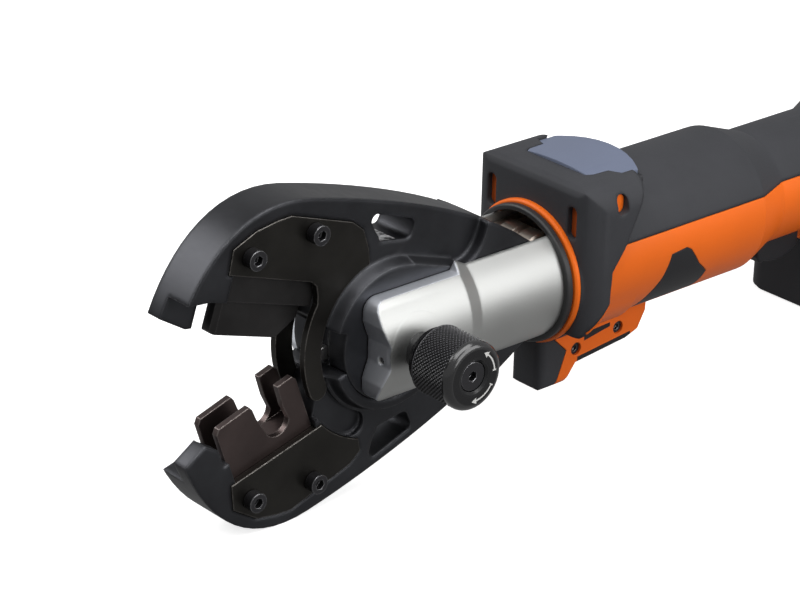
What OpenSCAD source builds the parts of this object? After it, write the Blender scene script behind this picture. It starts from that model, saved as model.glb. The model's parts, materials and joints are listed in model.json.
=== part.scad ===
// Battery hydraulic crimping tool with a swivelling head and two scissor jaws.
// The head is drawn about the jaw pivot: the jaws point to -X, the tool body runs to +X and Z is up.
// place() then moves everything so that the origin is the middle of the battery's flat underside.

/* [Layout] */
// Distance from the jaw pivot back to the middle of the battery
pivot_to_battery = 330; // [325:1:350]
// Height of the jaw pivot above the battery's underside
pivot_h = 70.5; // [70.5:0.5:78]

/* [Jaws] */
// Angle that each jaw opens from the closed line
jaw_open = 18; // [10:1:18]
// Length of the upper jaw from the pivot to its tip
upper_len = 110.5; // [108:0.5:116]
// Length of the lower jaw from the pivot to its tip
lower_len = 108; // [106:0.5:114]
// Height of the upper jaw's back over the closed line
crown_h = 54.3; // [53:0.1:60]
// Height of the lower jaw's back over the closed line
lower_crown_h = 52.9; // [52:0.1:60]
// Thickness of the jaw body
jaw_t = 21; // [20.5:0.1:22]
// Thickness of the raised hub and tail
hub_t = 32.4; // [31:0.1:34]
// Radius of the knuckles round the pivot
knuckle_r = 27; // [24:0.5:27.5]
// Thickness of the lower jaw's tongue in the hub
tongue_t = 10.3; // [8:0.1:12]
// Radius of the raised hub band
band_r = 31.5; // [31:0.1:32]
// How far the foot of the hub band flares out
band_flare = 2.5; // [0.5:0.1:3]

/* [Plates] */
// Thickness of the bolted side plates
plate_t = 3.2; // [2:0.1:3.4]
// Depth of the plate pockets below the jaw's face
pocket_d = 2.8; // [1.8:0.1:2.9]
// Inner radius of the guide arms
arm_r_in = 35; // [34.8:0.1:36]
// Outer radius of the guide arms
arm_r_out = 43.8; // [42:0.1:44.5]
// Depth that the guide track lies below the pockets
track_extra = 0.3; // [0.2:0.1:0.8]
// Thread diameter of the plate screws
screw_d = 5; // [4:0.5:6]
// Head diameter of the plate screws
screw_head_d = 8.5; // [7.5:0.1:9.5]
// Head height of the plate screws
screw_head_h = 5; // [3:0.5:6]
// Hexagon socket of the plate screws, across corners
screw_hex = 4.6; // [3:0.1:5.5]

/* [Dies] */
// Thickness of both dies
die_t = 15; // [13:0.1:15.2]
// Wall thickness of the lower die beside its channel
die_wall = 3; // [2:0.1:4]
// Thickness gap each side between the blade and the channel
blade_gap = 0.3; // [0.2:0.05:0.6]
// Height of the lower die's posts over the closed line
post_h = 8.2; // [6:0.1:8.4]
// Depth of the crimping notch below the closed line
notch_d = 13; // [11:0.5:16]

/* [Rollers] */
// Diameter of the two rollers
roller_d = 21; // [19:0.5:21]
// Length of the rollers
roller_len = 20.8; // [18:0.2:20.8]
// Distance from the pivot to the rollers with the ram back
roller_x = 87; // [86:0.5:89]
// Travel of the ram
stroke = 40; // [36:1:42]
// Diameter of the roller pins
roller_pin_d = 8; // [6:0.5:9]

/* [Fork] */
// Radius of the cheeks
cheek_r = 32; // [31:0.1:33]
// Height of the flats on the cheeks, from the axis
cheek_flat = 22.5; // [20:0.5:24]
// Radius of the neck
neck_r = 28.5; // [28:0.1:28.8]
// Width of the slot for the jaws beyond the hub's thickness
slot_play = 0.72; // [0.4:0.02:1]
// Diameter of the retention pin
pin_d = 14; // [12:0.5:15]
// Outer diameter of the pivot bush
bush_d = 20; // [18:0.5:22]
// Radius of the black collar on the neck
collar_r = 31; // [30:0.1:31.5]
// Radius of the trim ring at the mouth of the body
trim_r = 32.3; // [31:0.1:33]

/* [Knob] */
// Diameter of the knurled knob
knob_d = 30; // [26:0.5:32]
// Length of the knob
knob_len = 30.5; // [24:0.5:34]

/* [Body] */
// Radius of the body barrel
barrel_r = 34.3; // [34:0.1:37]
// Height of the barrel's axis over the head's axis
barrel_rise = 4.4; // [3.5:0.1:4.8]
// Half width of the front block
block_w = 38; // [35.5:0.5:40]
// Height of the front block over the head's axis
block_h = 46.5; // [44:0.5:48]
// Radius of the grip
grip_r = 27.5; // [26.5:0.5:29]
// Bottom of the front foot below the head's axis
foot_h = 56.5; // [50:0.5:60]
// Width of the front foot
foot_w = 19; // [16:0.5:24]
// Gap along the seams between the shells
seam = 0.3; // [0.1:0.05:0.5]
// Press of the release button
button_press = 2.5; // [1:0.1:3]
// Pull of the trigger
trigger_pull = 6; // [4:0.5:7]

/* [Battery] */
// Length of the battery
battery_l = 110; // [104:1:120]
// Width of the battery
battery_w = 75; // [72:1:80]
// Height of the battery case under the lid
battery_h = 34; // [30:0.5:35]
// Wall of the battery case
battery_wall = 3; // [2:0.1:3.4]
// Press of the battery latches
latch_press = 3; // [2:0.1:3.5]

/* [Hidden] */
$fn = 48;

run = 0.3;          // gap between pieces that move past each other
fit_r = 0.05;       // radial clearance of pins and bores
knuckle_gap = 0.4;  // gap round the knuckles
die_gap = 0.2;      // gap round the dies in their seats
jaw_y = jaw_t / 2;
hub_y = hub_t / 2;
tongue_y = tongue_t / 2;
floor_y = jaw_y - pocket_d;
plate_y = floor_y + plate_t;
slot_y = hub_y + slot_play / 2;
bore_r = pin_d / 2 + fit_r;
bush_r = bush_d / 2;
roller_r = roller_d / 2;
roller_z = roller_r + 0.2;
turn_per_mm = jaw_open / stroke;
crown_x = -60;
die_x0 = -90;
die_x1 = -43;
die_top = 26;
lower_die_x0 = -88.5;
lower_die_x1 = -45.3;
stop_d = 6.4;       // stop pin in the gap of the hub
stop_r = knuckle_r + 1;
stop_a = 168;       // its angle round the pivot with the jaws closed

function unit(v) = v / norm(v);
function bez(a, b, c, d, n) = [for (i = [0:n]) let(t = i / n, s = 1 - t)
    s*s*s*a + 3*s*s*t*b + 3*s*t*t*c + t*t*t*d];
function arc(r, a0, a1, n, c = [0, 0]) = [for (i = [0:n])
    let(a = a0 + (a1 - a0) * i / n) c + r * [cos(a), sin(a)]];
function turned(p, a) = [p.x * cos(a) - p.y * sin(a), p.x * sin(a) + p.y * cos(a)];
// An outline moved out by g; the points run anticlockwise.
function grow(p, g) = [for (i = [0:len(p) - 1])
    let(a = p[(i + len(p) - 1) % len(p)], b = p[i], c = p[(i + 1) % len(p)],
        u = unit(b - a), v = unit(c - b), n = [u.y, -u.x], m = [v.y, -v.x])
    b + (n + m) * g / (1 + n * m)];

module place() { translate([-pivot_to_battery, 0, pivot_h]) children(); }
// A side outline (x, z) between two values of Y.
module slab(y0, y1) { translate([0, y1, 0]) rotate([90, 0, 0]) linear_extrude(y1 - y0) children(); }
module both(y) { slab(-y, y) children(); }
// A front outline (y, z) between two values of X.
module along(x0, x1) { translate([x0, 0, 0]) rotate([90, 0, 90]) linear_extrude(x1 - x0) children(); }
module xcyl(x0, x1, r, r2 = 0) {
    translate([x0, 0, 0]) rotate([0, 90, 0]) cylinder(h = x1 - x0, r1 = r, r2 = r2 > 0 ? r2 : r);
}
module ycyl(y0, y1, r, r2 = 0) {
    translate([0, y0, 0]) rotate([-90, 0, 0]) cylinder(h = y1 - y0, r1 = r, r2 = r2 > 0 ? r2 : r);
}
module zcyl(z0, z1, r) { translate([0, 0, z0]) cylinder(h = z1 - z0, r = r); }
module rrect(w, h, r) {
    square([w - 2*r, h], center = true);
    square([w, h - 2*r], center = true);
    for (x = [-1, 1]) for (y = [-1, 1])
        translate([x * (w/2 - r), y * (h/2 - r)]) circle(r = r, $fn = 32);
}
module box(x0, x1, y0, y1, z0, z1) {
    translate([x0, y0, z0]) cube([x1 - x0, y1 - y0, z1 - z0]);
}
module open_upper() { rotate([0, jaw_open, 0]) children(); }
module open_lower() { rotate([0, -jaw_open, 0]) mirror([0, 0, 1]) children(); }
module for_sides() { for (s = [0, 1]) mirror([0, s, 0]) children(); }

// Jaws, drawn closed with the closed line at z = 0
// Centre of the roller as the closed jaw sees it after a travel s, and the cam at its distance.
function roller_at(s) = turned([roller_x - s, roller_z], jaw_open - turn_per_mm * s);
function cam_at(s) = let(t = unit(roller_at(s + 0.5) - roller_at(s - 0.5)))
    roller_at(s) + [t.y, -t.x] * (roller_r + run);
cam_run_on = 3;     // the cam runs on past the end of the travel
cam = [for (i = [0:8]) cam_at((stroke + cam_run_on) * i / 8)];
tail_inner = turned([33, knuckle_gap + 0.3], jaw_open);
function jaw_back(len, top) = concat(
    bez([-len, -2], [3 - len, 27], [crown_x - 32, top - 2.8], [crown_x, top], 14),
    [for (i = [1:13]) bez([crown_x, top], [crown_x + 30, top + 2.6], [25, top + 3.7], [60, top - 7.3], 14)[i]]);
module jaw_outline(len, top) {
    polygon(concat(jaw_back(len, top), cam, [tail_inner, turned([0, knuckle_gap], jaw_open),
        [0, knuckle_gap], [-33, knuckle_gap + 0.5], [-36.5, 3], [-41, 11], [-46, 20], [-46, -12],
        [1 - len, -12]]));
}
// The jaw body with its die seat cut out; edge is its edge ahead of the seat.
module jaw_plan(len, top, seat0, seat1, edge) {
    difference() {
        jaw_outline(len, top);
        polygon(concat([[-len - 9, -20]], edge, [[seat0, die_top + die_gap],
            [seat1, die_top + die_gap], [seat1, -20]]));
    }
}
// The hub band and the tail stand proud of the body.
raised_curl = bez([24, band_r + 0.3], [34, band_r + 0.5], [38.5, 40], [36.3, crown_h + 2], 8);
module tail_plan() { polygon(concat([[0, -1], [0, band_r + 0.3]], raised_curl, [[90, crown_h + 2], [90, -1]])); }
module band(len, top) {
    both(hub_y) intersection() {
        tail_plan();
        jaw_outline(len, top);
    }
    intersection() {
        rotate([90, 0, 0]) rotate_extrude() polygon([[0, -hub_y], [band_r, -hub_y],
            [band_r + band_flare, 1 - jaw_y], [band_r + band_flare, jaw_y - 1], [band_r, hub_y], [0, hub_y]]);
        both(hub_y + 1) polygon([[-60, knuckle_gap], [1, knuckle_gap], [1, 80], [-60, 80]]);
    }
    for_sides() along(0, 26) polygon([[0, 20], [-hub_y, 20], [-hub_y, band_r + 0.3],
        [1 - jaw_y, band_r + 0.3 + band_flare], [0, band_r + 0.3 + band_flare]]);
}
// The window through the jaw's back; z0 and z1 are the corner centres at its lower and upper edge.
module window(z0, z1) {
    polygon(concat(arc(3, 200, 110, 5, [-21.4, z1]), arc(3, 80, 0, 5, [-3, z1 - 0.7]),
        arc(3, 0, -80, 4, [-3.4, z0 + 2]), arc(3, 260, 200, 4, [-15.4, z0]), [[-20.6, z0 + 0.8]]));
}
plate_screws = [[-84.3, 28.7], [-54.4, 40.7]];
module screw_holes() { for (p = plate_screws) translate([p.x, 0, p.y]) ycyl(-60, 60, screw_d/2 + 0.1); }

arm_end = 221;
arm_mid = (arm_r_in + arm_r_out) / 2;
function plate_back() = [[-22.4, 35.5], [-28, 43.3], [-34.8, 46], [-68.2, 46.6], [-75.2, 44],
    [-84.6, 39.2], [-94, 31]];
function guide_pts() = concat(plate_back(), [[-92.9, 20.7], [-49.1, 20], [-45.6, 18.4], [-43.6, 14.6]],
    arc(arm_r_out, 166, arm_end, 14),
    arc((arm_r_out - arm_r_in) / 2, arm_end + 20, arm_end + 160, 6, arm_mid * [cos(arm_end), sin(arm_end)]),
    arc(arm_r_in, arm_end, 124, 20));
track_out = arm_r_out + 2.2;
function cover_pts() = concat([[-93.6, 28.2], [-91, 17.1], [-43.6, 19.4]],
    arc(track_out + 0.5, 155.6, 126, 8), [[-28, 43.3], [-34.8, 46], [-68.2, 46.6], [-75.2, 44], [-84.6, 39.2]]);
module guide_plan(g = 0) { polygon(grow(guide_pts(), g)); }
module cover_plan(g = 0) { polygon(grow(cover_pts(), g)); }
// The arm's path in the lower jaw, from its mouth to a round end.
track_end = arm_end + 6;
module track_plan() {
    a = 360 - track_end;
    polygon(concat(arc(track_out, 182, a, 16), arc((track_out - arm_r_in + 0.4) / 2, a - 20, a - 160, 6,
        (track_out + arm_r_in - 0.4) / 2 * [cos(a), sin(a)]), arc(arm_r_in - 0.4, a, 182, 16)));
}

upper_seat = [die_x0 - die_gap, die_x1 + die_gap];
lower_seat = [lower_die_x0 - die_gap, lower_die_x1 + die_gap];
tooth_y = 2.5;      // the upper tip has its tooth from here to the rear face
module upper_jaw() {
    color([0.17, 0.18, 0.20]) place() open_upper() difference() {
        union() {
            slab(-jaw_y, tooth_y) jaw_plan(upper_len, crown_h, upper_seat[0], upper_seat[1],
                [[-upper_len - 9, 4.6], [-98.4, 9.3], [upper_seat[0], 9.3]]);
            slab(tooth_y, jaw_y) jaw_plan(upper_len, crown_h, upper_seat[0], upper_seat[1],
                [[-upper_len - 9, -0.2], [-96.5, -6.2], [-93.4, -5.7], [-93.4, 9.3], [upper_seat[0], 9.3]]);
            band(upper_len, crown_h);
            ycyl(-hub_y, hub_y, knuckle_r);
        }
        both(tongue_y + 0.15) circle(r = knuckle_r + knuckle_gap);
        ycyl(-60, 60, bush_r + fit_r);
        both(60) window(crown_h - 12.7, crown_h - 7);
        for_sides() slab(floor_y, 60) guide_plan(run);
        screw_holes();
        both(tongue_y + 0.15) polygon(concat([[0, 0]], arc(stop_r + stop_d/2 + 1, 153, 190, 6)));
    }
}

module lower_jaw() {
    color([0.17, 0.18, 0.20]) place() open_lower() difference() {
        union() {
            difference() {
                union() {
                    difference() {
                        slab(-jaw_y, -run - tooth_y) jaw_plan(lower_len, lower_crown_h, lower_seat[0], lower_seat[1],
                            [[-lower_len - 9, -2], [-96.3, -7.7], [-91.4, -2], [-91.4, 6.9], [lower_seat[0], 6.9]]);
                        box(-96.2, -80, -4.7, 0, -20, 6.9);
                    }
                    slab(-run - tooth_y, jaw_y) jaw_plan(lower_len, lower_crown_h, lower_seat[0], lower_seat[1],
                        [[-lower_len - 9, 5.8], [-98.4, 6.9], [lower_seat[0], 6.9]]);
                    band(lower_len, lower_crown_h);
                }
                ycyl(-60, 60, knuckle_r + knuckle_gap);
            }
            both(tongue_y) intersection() {
                jaw_outline(lower_len, lower_crown_h);
                circle(r = knuckle_r + 4);
            }
            ycyl(-tongue_y, tongue_y, knuckle_r);
        }
        ycyl(-60, 60, bush_r + fit_r);
        stop_at() ycyl(-60, 60, stop_d/2);
        both(60) window(lower_crown_h - 11.3, lower_crown_h - 4.5);
        for_sides() slab(floor_y, 60) cover_plan(run);
        for_sides() slab(floor_y - track_extra, 60) track_plan();
        screw_holes();
    }
}

module upper_guide_plate(side) {
    color([0.13, 0.13, 0.12]) place() open_upper() mirror([0, side, 0]) difference() {
        slab(-plate_y, -floor_y) guide_plan();
        screw_holes();
    }
}
module upper_guide_plate_front() { upper_guide_plate(0); }
module upper_guide_plate_rear() { upper_guide_plate(1); }
module lower_cover_plate(side) {
    color([0.13, 0.13, 0.12]) place() open_lower() mirror([0, side, 0]) difference() {
        slab(-plate_y, -floor_y) cover_plan();
        screw_holes();
    }
}
module lower_cover_plate_front() { lower_cover_plate(0); }
module lower_cover_plate_rear() { lower_cover_plate(1); }
module plate_screw() {
    difference() {
        union() {
            ycyl(-plate_y - screw_head_h, -plate_y - 0.4, screw_head_d/2);
            ycyl(-plate_y - 0.4, -plate_y, screw_head_d/2 - 0.4);
            ycyl(-plate_y - 0.5, -1.5, screw_d/2);
        }
        translate([0, -plate_y - screw_head_h - 1, 0]) rotate([-90, 30, 0])
            cylinder(h = 1 + screw_head_h * 0.6, d = screw_hex, $fn = 6);
    }
}
module plate_screw_set() {
    for_sides() for (p = plate_screws) translate([p.x, 0, p.y]) plate_screw();
}
module upper_plate_screws() { color([0.08, 0.08, 0.09]) place() open_upper() plate_screw_set(); }
module lower_plate_screws() { color([0.08, 0.08, 0.09]) place() open_lower() plate_screw_set(); }

// Dies
blade_y = die_t/2 - die_wall - blade_gap;
blade_x0 = die_x0 + 1.5;
blade_reach = 6;    // the blade's edge below the closed line
module upper_die() {
    color([0.16, 0.15, 0.15]) place() open_upper() {
        both(die_t/2) polygon([[die_x0, post_h + 0.6], [die_x1, post_h + 0.6], [die_x1, die_top - 1],
            [die_x1 - 1, die_top], [die_x0 + 1, die_top], [die_x0, die_top - 1]]);
        intersection() {
            both(blade_y) polygon([[blade_x0, post_h + 1], [blade_x0, 1 - blade_reach],
                [blade_x0 + 1, -blade_reach], [-54.5, -blade_reach], [-46, 3], [-46, post_h + 1]]);
            up(-20) linear_extrude(60) polygon([[blade_x0, -2.4], [blade_x0 + 2, -blade_y],
                [-40, -blade_y], [-40, blade_y], [blade_x0 + 2, blade_y], [blade_x0, 2.4]]);
        }
    }
}
module lower_die() {
    color([0.20, 0.14, 0.13]) place() rotate([0, -jaw_open, 0]) difference() {
        both(die_t/2) polygon([[lower_die_x0, 1 - die_top], [lower_die_x0 + 1, -die_top],
            [lower_die_x1 - 1, -die_top], [lower_die_x1, 1 - die_top], [lower_die_x1, -16],
            [lower_die_x1 - 0.5, 6], [-47.3, post_h], [-86.6, post_h], [lower_die_x0, 6]]);
        both(die_t) polygon(concat([[-70.8, post_h + 1], [-69.4, 6.1], [-68.9, 1], [-66.4, -8]],
            arc(6.4, 200, 340, 8, [-60.4, 6.4 - notch_d]), [[-55.4, -2], [-55.2, post_h + 1]]));
        slab(-blade_y - blade_gap, blade_y + blade_gap)
            polygon([[-95, -notch_d], [-40, -notch_d], [-40, 20], [-95, 20]]);
    }
}

// Hub
module pivot_bush() {
    color([0.45, 0.40, 0.30]) place() difference() {
        ycyl(-slot_y + 0.1, slot_y - 0.1, bush_r);
        ycyl(-60, 60, bore_r);
    }
}
module stop_at() { rotate([0, stop_a, 0]) translate([stop_r, 0, 0]) children(); }
module stop_pin() {
    color([0.55, 0.56, 0.60]) place() open_lower() stop_at() ycyl(-tongue_y + 0.1, tongue_y - 0.1, stop_d/2);
}
module retention_pin() {
    color([0.60, 0.61, 0.63]) place() {
        ycyl(-cheek_r - 2, cheek_r - 0.5, pin_d/2);
        ycyl(cheek_r - 0.5, cheek_r + 1, pin_d/2, pin_d/2 - 1.5);
    }
}
ring_l = 2.4;
knob_y0 = cheek_r + ring_l + run;
knob_y1 = knob_y0 + knob_len;
module knob() {
    kr = knob_d/2;
    color([0.07, 0.07, 0.08]) place() rotate([90, 0, 0]) rotate_extrude($fn = 72)
        polygon(concat([[pin_d/2 - 2 + fit_r, knob_y0], [kr - 1.2, knob_y0], [kr - 1.2, knob_y0 + 2.4],
            [kr, knob_y0 + 3.2], [kr, knob_y1 - 4]], arc(3.4, 15, 80, 5, [kr - 3.4, knob_y1 - 3.9]),
            [[7.4, knob_y1 - 0.2], [6.6, knob_y1 - 1.4], [6.6, knob_y1 - 6], [pin_d/2 - 2 + fit_r, knob_y1 - 6]]));
}
module knob_screw() {
    color([0.05, 0.05, 0.05]) place() difference() {
        union() {
            ycyl(-knob_y1 + 1.6, -knob_y1 + 6, 6.2);
            ycyl(-knob_y1 + 6, -cheek_r - 2, pin_d/2 - 2);
        }
        translate([0, -knob_y1, 0]) rotate([-90, 30, 0]) cylinder(h = 4.6, d = screw_hex, $fn = 6);
    }
}
module knob_lock_ring() {
    color([0.08, 0.08, 0.09]) place() difference() {
        ycyl(-cheek_r - ring_l, -cheek_r + 3, knob_d/2 - 0.6);
        ycyl(-60, 60, bore_r);
        xcyl(-40, 60, cheek_r);
    }
}

// Fork
fork_x0 = -18;
cheek_x1 = 29;
neck_x0 = cheek_x1 + 8.5;
slot_x1 = 113;
flange_x0 = 118.3;
cyl_x0 = slot_x1 + 5;
cyl_r = 24;
ram_r = 20;
module cheek_side() {
    polygon(concat([[80, -50], [80, 50], [cheek_x1 + 30, 50]], [[cheek_x1 + 30, cheek_flat + 12],
        [cheek_x1 + 9, cheek_flat + 12], [cheek_x1, cheek_flat]],
        arc(6, 90, 180, 6, [fork_x0 + 6, cheek_flat - 6]), [[fork_x0, 13], [fork_x0 + 1.5, 8.5], [fork_x0 + 3, 5],
        [fork_x0 + 3, -5], [fork_x0 + 1.5, -8.5], [fork_x0, -13]],
        arc(6, 180, 270, 6, [fork_x0 + 6, 6 - cheek_flat]),
        [[cheek_x1, -cheek_flat], [cheek_x1 + 9, -cheek_flat - 12], [cheek_x1 + 30, -cheek_flat - 12],
        [cheek_x1 + 30, -50]]));
}
module fork() {
    color([0.72, 0.73, 0.75]) place() difference() {
        union() {
            intersection() {
                union() {
                    xcyl(fork_x0 - 1, cheek_x1, cheek_r);
                    xcyl(cheek_x1, neck_x0, cheek_r, neck_r);
                    xcyl(neck_x0, 60, neck_r);
                }
                both(50) cheek_side();
            }
            xcyl(60, flange_x0, neck_r);
            xcyl(flange_x0, flange_x0 + 6, 29.8);
        }
        along(-50, slot_x1) square([2 * slot_y, 90], center = true);
        ycyl(-60, 60, bore_r);
        xcyl(slot_x1, 200, ram_r - 6);
        xcyl(cyl_x0, 200, cyl_r);
        translate([fork_x0 - 1, -25, -3]) xcyl(0, 6, 1.6);
        translate([0, 0, 0]) ycyl(-cheek_r - 1, -cheek_r + 3, knob_d/2 - 0.6);
    }
}
module detent_screw() {
    color([0.10, 0.10, 0.11]) place() translate([fork_x0 + 4, -25, -3]) difference() {
        xcyl(0, 1, 1.6);
        xcyl(-1, 0.6, 0.8);
    }
}
module collar_ring() {
    color([0.08, 0.08, 0.08]) place() difference() {
        union() {
            xcyl(84.6, 85.2, collar_r - 0.6, collar_r);
            xcyl(85.2, 87.6, collar_r);
        }
        xcyl(60, 100, neck_r + 0.02);
    }
}

// Ram: carriage, rod and piston in one
piston_x = cyl_x0 + 46;
module ram() {
    color([0.50, 0.46, 0.42]) place() difference() {
        union() {
            for_sides() slab(-hub_y + 0.1, -roller_len/2 - 0.2) {
                polygon([[roller_x + 2, 19], [roller_x + 18, 20.5], [roller_x + 18, -20.5],
                    [roller_x + 2, -19], [roller_x - 3, -6], [roller_x - 3, 6]]);
                for (z = [-1, 1]) translate([roller_x, z * roller_z]) circle(r = roller_r - 2);
            }
            intersection() {
                both(hub_y - 0.1) translate([roller_x + roller_r + 1.5, -20.5])
                    square([slot_x1 - roller_x - roller_r - 2.5, 41]);
                xcyl(60, 200, neck_r - 2.5);
            }
            xcyl(slot_x1 - 4, piston_x, 9);
            xcyl(piston_x, piston_x + 4, ram_r - fit_r);
            xcyl(piston_x + 4, piston_x + 8, ram_r - 3);
            xcyl(piston_x + 8, piston_x + 12, ram_r - fit_r);
        }
        for (z = [-1, 1]) translate([roller_x, 0, z * roller_z]) ycyl(-60, 60, roller_pin_d/2);
    }
}
module piston_seal() {
    color([0.10, 0.10, 0.10]) place() difference() {
        xcyl(piston_x + 4, piston_x + 8, ram_r - 0.1);
        xcyl(piston_x, piston_x + 20, ram_r - 2.98);
    }
}
module roller(s) {
    color([0.62, 0.55, 0.48]) place() translate([roller_x, 0, s * roller_z]) rotate([90, 0, 0])
        rotate_extrude() polygon([[roller_pin_d/2 + fit_r, -roller_len/2], [roller_r - 0.8, -roller_len/2],
            [roller_r, 0.8 - roller_len/2], [roller_r, -2], [roller_r - 1.5, -1.2], [roller_r - 1.5, 1.2],
            [roller_r, 2], [roller_r, roller_len/2 - 0.8], [roller_r - 0.8, roller_len/2],
            [roller_pin_d/2 + fit_r, roller_len/2]]);
}
module roller_upper() { roller(1); }
module roller_lower() { roller(-1); }
module roller_pins() {
    color([0.60, 0.60, 0.62]) place() for (z = [-1, 1]) translate([roller_x, 0, z * roller_z])
        ycyl(0.2 - hub_y, hub_y - 0.2, roller_pin_d/2);
}
module return_spring() {
    color([0.45, 0.46, 0.50]) place() difference() {
        xcyl(cyl_x0 + 4, piston_x, 14);
        xcyl(0, 300, 11);
    }
}
cyl_x1 = piston_x + 14;
module ram_cylinder() {
    color([0.55, 0.56, 0.58]) place() difference() {
        xcyl(cyl_x0, cyl_x1 + 4, cyl_r);
        xcyl(0, 300, 9 + fit_r);
        xcyl(cyl_x0 + 4, cyl_x1, ram_r);
    }
}

// Tool body
face_x = 91;
bearing_x0 = face_x + 2;
bearing_r = 30.5;
orange_z = 15.5;
battery_x0 = pivot_to_battery - battery_l/2;
battery_x1 = pivot_to_battery + battery_l/2;
cone_x0 = battery_x0 - 70;
cone_x1 = cone_x0 + 20;
grip_x1 = battery_x0 + 5;
case_z = battery_h - pivot_h;
lid_z = case_z + 3;
rail_z = lid_z + 8;
rail_y = 22;
shoe_z = lid_z + run;
shoe_w = battery_w - 3;
board_z = rail_z + run + 1.7;
pump_x0 = cyl_x1 + 4.5;
pump_x1 = pump_x0 + 26;
gear_x1 = pump_x1 + 20;
motor_x1 = gear_x1 + 56;
drive_r = 16;
block_back = [[face_x + 20.5, 18], [face_x + 13, 8], [face_x + 12.4, -7], [face_x + 1, -22]];
// The side outlines along which the rubber, the grip and the lower shells meet.
bumper_edge = [[100, -58], [107, -40], [96.5, -30], [93.5, -19], [103.4, -6.5], [103.6, 0],
    [104.5, 7.8], [108, 12], [111.5, 18]];
module bumper_side(g) {
    polygon(grow(concat([[80, -70], [99, -70]], bumper_edge, [[131, 42], [131, 60], [80, 60]]), -g));
}
module orange_side(g) {
    polygon(grow(concat([[99, -70], [420, -70], [420, orange_z], [109.5, orange_z]],
        [for (i = [7:-1:0]) bumper_edge[i]]), -g));
}
module grip_side(g) {
    polygon(grow([[109.5, orange_z], [420, orange_z], [420, 60], [131, 60], [131, 42], [111.5, 18]], -g));
}
module insert_side(g) {
    polygon(grow([[134, -60], [172, -60], [172, -12], [164.3, -5.5], [157, 3.7], [154, 5.4],
        [144.7, 4.4], [141, -6.4], [137, -14], [134, -22]], -g));
}
module up(z) { translate([0, 0, z]) children(); }
module body_form() {
    up(barrel_rise) xcyl(face_x + 9, cone_x0, barrel_r);
    up(barrel_rise) xcyl(cone_x0, cone_x1, barrel_r, grip_r);
    up(barrel_rise) xcyl(cone_x1, grip_x1, grip_r);
    hull() {
        up(barrel_rise) rotate([0, 90, 0]) translate([0, 0, grip_x1 - 1]) cylinder(h = 1, r = grip_r, $fn = 32);
        along(grip_x1 + 22, battery_x1 - 8) translate([0, (shoe_z + barrel_rise + 20)/2])
            rrect(shoe_w, barrel_rise + 20 - shoe_z, 12);
        along(battery_x1 - 8, battery_x1) translate([0, (shoe_z + barrel_rise + 12)/2])
            rrect(shoe_w - 12, barrel_rise + 12 - shoe_z, 12);
    }
    up(shoe_z) linear_extrude(14) translate([pivot_to_battery - 6, 0]) rrect(battery_l - 4, shoe_w, 10);
    front_block();
    front_foot();
}
module front_block() {
    intersection() {
        both(60) polygon(concat([[face_x, -22], [face_x, block_h - 4], [face_x + 1, block_h - 1.5],
            [face_x + 3, block_h], [face_x + 34, block_h], [face_x + 32, block_h - 4.5]], block_back));
        linear_extrude(200, center = true) translate([face_x + 40, 0]) rrect(80, 2*block_w, 11);
        along(0, 200) translate([0, (block_h - 30)/2]) rrect(2*block_w, block_h + 30, 12.5);
    }
    up(30) linear_extrude(block_h - 34) pad_plan(2.2);
    // Hoop that closes the swivel bearing's bore below the barrel
    xcyl(face_x, flange_x0 + 10, bearing_r + 2);
}
module front_foot() {
    intersection() {
        both(foot_w/2) polygon([[face_x, -10], [face_x, 2 - foot_h], [face_x + 2, -foot_h],
            [face_x + 11, -foot_h], [face_x + 16, 1.5 - foot_h], [face_x + 22, 9 - foot_h],
            [face_x + 53, 12 - foot_h], [face_x + 60.5, 14.5 - foot_h], [face_x + 65, 22.5 - foot_h],
            [face_x + 66, -10]]);
        along(0, 200) translate([0, -foot_h/2]) rrect(foot_w, foot_h, 4);
        linear_extrude(200, center = true) translate([face_x + 40, 0]) rrect(80, foot_w, 4);
    }
}
module body_bays() {
    xcyl(0, bearing_x0, neck_r + run);
    xcyl(bearing_x0, flange_x0, bearing_r);
    xcyl(flange_x0 - 1, flange_x0 + 8, bearing_r - 0.4);
    xcyl(flange_x0 + 7, pump_x0, cyl_r + run);
    up(barrel_rise) {
        xcyl(pump_x0 - 1, gear_x1, drive_r + 0.1);
        xcyl(gear_x1 - 1, motor_x1 + 0.1, drive_r + 0.1);
    }
    // Slot for the trigger and its switch
    box(trigger_x0 - run, trigger_x1 + run, -8 - run, 8 + run, -40, barrel_rise - drive_r + 2);
    // Slot for the battery's rails, with a lip each side
    box(battery_x0 + 1, battery_x1 + 1, -rail_y - run, rail_y + run, shoe_z - 1, shoe_z + 0.7);
    box(battery_x0 + 1, battery_x1 + 1, -rail_y - run, rail_y + run, shoe_z + 3.7, rail_z + run);
    box(battery_x0 + 1, battery_x1 + 1, 3 - rail_y - run, rail_y + run - 3, shoe_z - 1, rail_z + run);
    box(grip_x1 + 8, grip_x1 + 62, -rail_y, rail_y, board_z, barrel_rise - drive_r + 4);
    // Pocket for the release button
    up(block_h - 3.8 - button_press) linear_extrude(20) pad_plan(0.5);
    for (p = shell_screws) translate([p.x, -60, p.y]) {
        ycyl(0, 120, 1.6);
    }
    // Recesses in the corners of the front block
    for_sides() {
        along(face_x - 1, face_x + 3) translate([-25, 30]) rrect(5.5, 15, 2.7);
        translate([0, -block_w - 1, 0]) slab(0, 5) translate([face_x + 18, 37.5]) rrect(6.5, 9, 3);
    }
}
screw_y = 6;         // where the heads of the shells' screws seat
shell_screws = [[face_x + 22, -41], [face_x + 48, -38], [grip_x1 + 2, -16], [battery_x1 - 12, 6]];
trigger_x0 = cone_x1 + 7;
trigger_x1 = trigger_x0 + 28;
pad_x0 = face_x + 14;
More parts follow.
